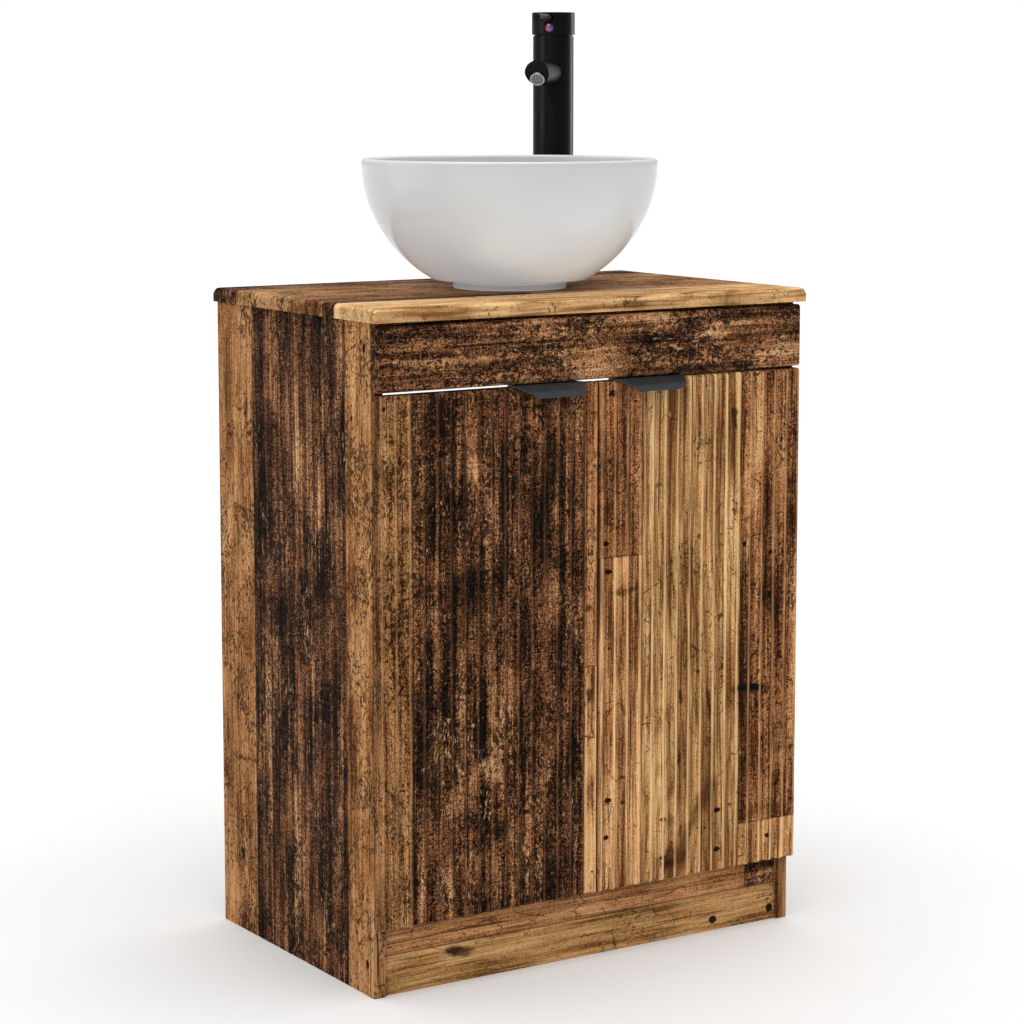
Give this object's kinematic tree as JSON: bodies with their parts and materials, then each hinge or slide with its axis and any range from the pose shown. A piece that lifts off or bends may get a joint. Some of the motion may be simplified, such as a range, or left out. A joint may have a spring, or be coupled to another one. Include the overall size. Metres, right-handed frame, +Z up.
{
  "type": "bathroom vanity cabinet",
  "caption": "Free-standing bathroom vanity cabinet with two fluted hinged doors, a shelf, an open back, a round countertop basin and a tall single-lever basin tap.",
  "frame": {"origin": "on the floor, under the middle of the whole object's bounding box", "axes": "+X to the right seen from the front, +Y towards the wall, +Z up"},
  "size_m": [0.58, 0.3948, 1.08],
  "materials": {
    "board_side": "printed reclaimed wood, satin",
    "board_door": "printed reclaimed wood over fluting, satin",
    "board_apron": "printed reclaimed wood, satin",
    "board_plinth": "printed reclaimed wood, satin",
    "board_top": "printed reclaimed wood, satin",
    "board_inner": "printed reclaimed wood, matt",
    "pull_metal": "slate grey satin coating",
    "tap_black": "matt black coating",
    "glazed_white": "white gloss glaze",
    "chrome": "polished",
    "nickel": "nickel plated",
    "seal_rubber": "matt",
    "fitting_plastic": "moulded",
    "indicator_enamel": "red and blue halves"
  },
  "bodies": {
    "carcass": {"side_panel_left": "board_side", "side_panel_right": "board_side", "bottom_panel": "board_inner", "plinth_board": "board_plinth", "back_rail_bottom": "board_inner", "back_rail_top": "board_inner", "front_stretcher": "board_inner", "apron_panel": "board_apron", "shelf": "board_inner", "countertop": "board_top", "shelf_peg_left_front": "nickel", "shelf_peg_left_rear": "nickel", "cam_lock_left_front": "nickel", "cam_lock_left_rear": "nickel", "cam_lock_left_top": "nickel", "corner_block_left_front": "fitting_plastic", "corner_block_left_rear": "fitting_plastic", "hinge_arm_left_lower": "nickel", "hinge_arm_left_upper": "nickel", "shelf_peg_right_front": "nickel", "shelf_peg_right_rear": "nickel", "cam_lock_right_front": "nickel", "cam_lock_right_rear": "nickel", "cam_lock_right_top": "nickel", "corner_block_right_front": "fitting_plastic", "corner_block_right_rear": "fitting_plastic", "hinge_arm_right_lower": "nickel", "hinge_arm_right_upper": "nickel", "basin": "glazed_white", "waste_body": "chrome", "waste_gasket": "seal_rubber", "waste_locknut": "chrome", "tap_base_ring": "tap_black", "tap_column": "tap_black", "tap_spout": "tap_black", "tap_aerator": "nickel", "tap_shank": "nickel", "tap_backnut": "nickel"},
    "door_left": {"door_panel_left": "board_door", "door_handle_left": "pull_metal", "hinge_cup_left_lower": "nickel", "hinge_cup_left_upper": "nickel", "handle_screw_left_inner": "nickel", "handle_screw_left_outer": "nickel", "door_bumper_left_lower": "fitting_plastic", "door_bumper_left_upper": "fitting_plastic"},
    "door_right": {"door_panel_right": "board_door", "door_handle_right": "pull_metal", "hinge_cup_right_lower": "nickel", "hinge_cup_right_upper": "nickel", "handle_screw_right_inner": "nickel", "handle_screw_right_outer": "nickel", "door_bumper_right_lower": "fitting_plastic", "door_bumper_right_upper": "fitting_plastic"},
    "waste_plug_body": {"waste_plug": "chrome"},
    "tap_cartridge": {"tap_cartridge_stem": "nickel"},
    "tap_lever": {"tap_lever_cap": "tap_black", "tap_lever_rod": "tap_black", "tap_indicator": "indicator_enamel"}
  },
  "joints": [
    {"name": "door_left_swing", "type": "hinge", "parent": "carcass", "child": "door_left", "pos_m": [-0.2795, -0.172, 0.3715], "axis": [0, 0, -1], "range_deg": [0, 95]},
    {"name": "door_right_swing", "type": "hinge", "parent": "carcass", "child": "door_right", "pos_m": [0.2795, -0.172, 0.3715], "axis": [0, 0, 1], "range_deg": [0, 95]},
    {"name": "waste_plug_lift", "type": "slide", "parent": "carcass", "child": "waste_plug_body", "axis": [0, 0, 1], "range_m": [0, 0.008]},
    {"name": "tap_temperature_turn", "type": "hinge", "parent": "carcass", "child": "tap_cartridge", "pos_m": [0.1564, 0.1544, 1.05], "axis": [0, 0, 1], "range_deg": [-45, 45]},
    {"name": "tap_flow_lift", "type": "hinge", "parent": "tap_cartridge", "child": "tap_lever", "pos_m": [0.17493, 0.17293, 1.053], "axis": [-0.7071, 0.7071, 0], "range_deg": [0, 20]}
  ]
}
